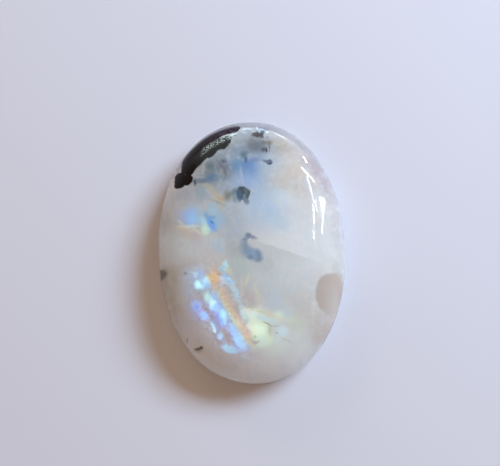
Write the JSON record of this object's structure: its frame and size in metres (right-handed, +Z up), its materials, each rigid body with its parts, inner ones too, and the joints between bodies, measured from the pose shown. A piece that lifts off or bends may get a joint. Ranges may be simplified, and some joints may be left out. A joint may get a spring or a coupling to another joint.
{
  "type": "moonstone cabochon",
  "caption": "Oval polished rainbow moonstone with a domed top, a flat back and dark tourmaline inclusions near one end of the rim.",
  "frame": {"origin": "centre of the flat back", "axes": "+Y along the long axis, towards the end with the dark inclusions; +Z up through the top of the dome; +X across"},
  "size_m": [0.025, 0.035, 0.007],
  "materials": {
    "polished_moonstone": "glossy polish, milky and translucent"
  },
  "bodies": {
    "root": {"moonstone_cabochon": "polished_moonstone"}
  },
  "joints": []
}
